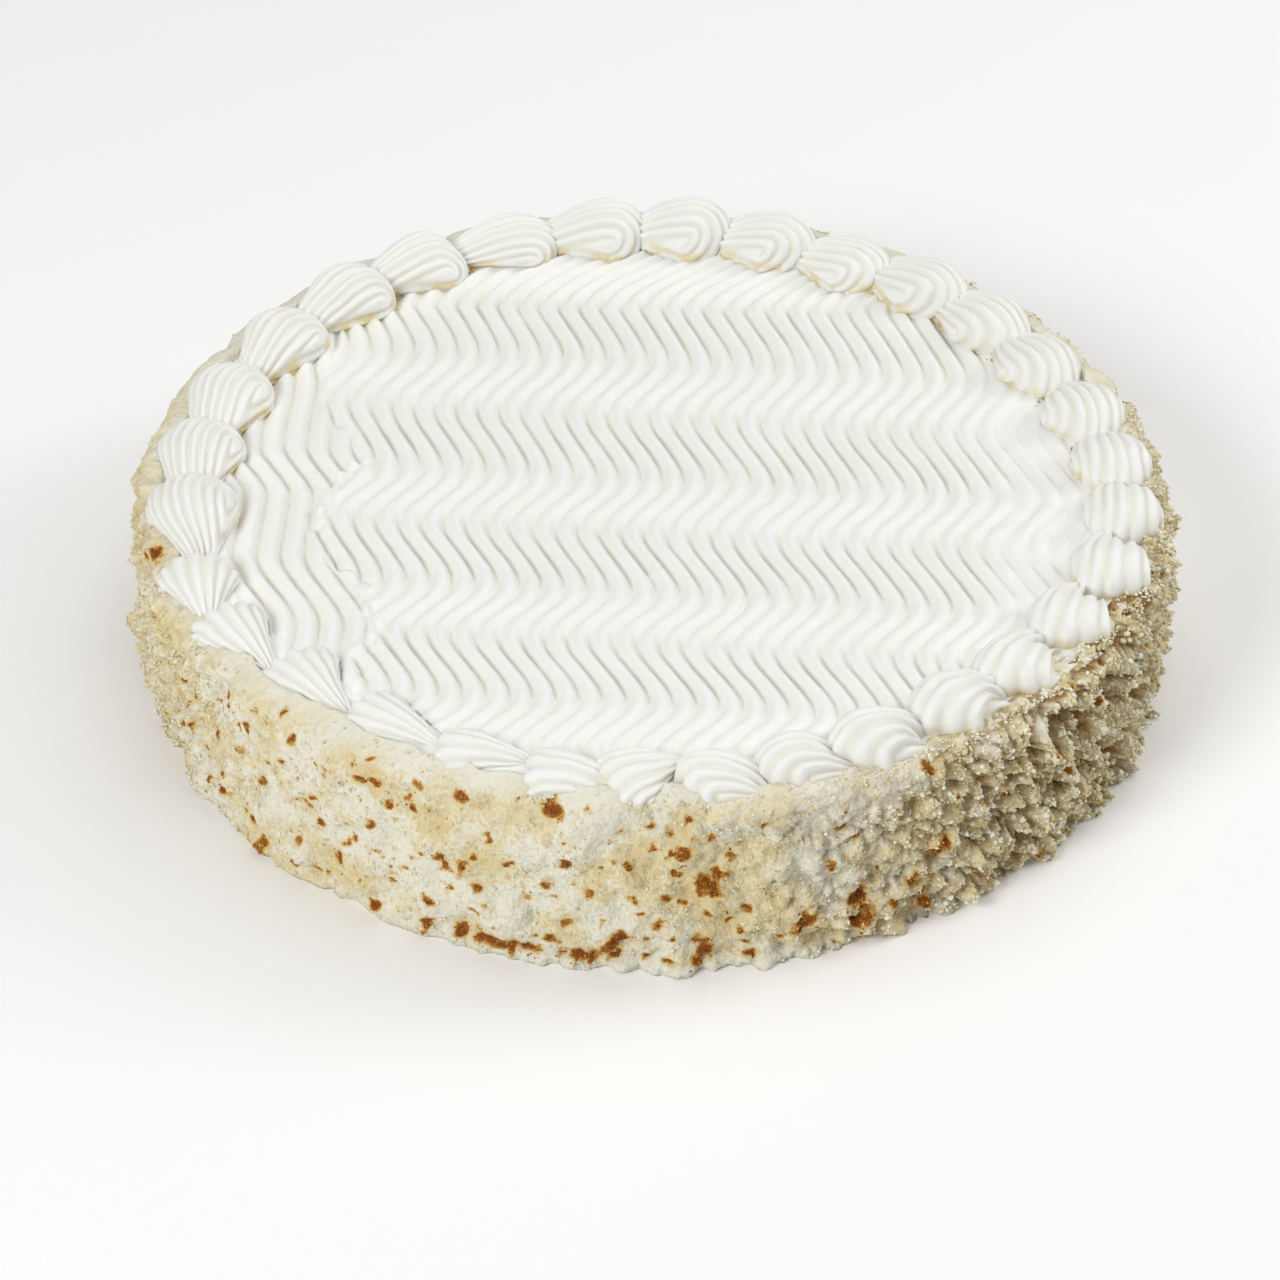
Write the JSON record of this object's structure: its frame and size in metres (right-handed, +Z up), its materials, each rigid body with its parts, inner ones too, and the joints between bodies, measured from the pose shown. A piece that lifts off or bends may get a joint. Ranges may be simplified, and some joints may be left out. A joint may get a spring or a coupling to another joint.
{
  "type": "white cake",
  "caption": "Round white cake with a combed cream top, a border of piped cream shells and a side coated in pale and toasted cake crumbs.",
  "frame": {"origin": "centre of the cake's round base, on the surface that it stands on", "axes": "+Z up, through the middle of the round cake; the comb lines on the top run along Y, and -Y is the side that faces the viewer"},
  "size_m": [0.2566, 0.2564, 0.0576],
  "materials": {
    "crumb_coat": "matte, moist crumb in cream, pale with golden and brown specks",
    "combed_icing": "satin whipped cream, drawn with a toothed comb",
    "piped_cream": "satin whipped cream, piped through a star tip"
  },
  "bodies": {
    "root": {"cake_body": "crumb_coat", "icing_top": "combed_icing", "shell_01": "piped_cream", "shell_02": "piped_cream", "shell_03": "piped_cream", "shell_04": "piped_cream", "shell_05": "piped_cream", "shell_06": "piped_cream", "shell_07": "piped_cream", "shell_08": "piped_cream", "shell_09": "piped_cream", "shell_10": "piped_cream", "shell_11": "piped_cream", "shell_12": "piped_cream", "shell_13": "piped_cream", "shell_14": "piped_cream", "shell_15": "piped_cream", "shell_16": "piped_cream", "shell_17": "piped_cream", "shell_18": "piped_cream", "shell_19": "piped_cream", "shell_20": "piped_cream", "shell_21": "piped_cream", "shell_22": "piped_cream", "shell_23": "piped_cream", "shell_24": "piped_cream", "shell_25": "piped_cream", "shell_26": "piped_cream", "shell_27": "piped_cream", "shell_28": "piped_cream", "shell_29": "piped_cream", "shell_30": "piped_cream", "shell_31": "piped_cream"}
  },
  "joints": []
}
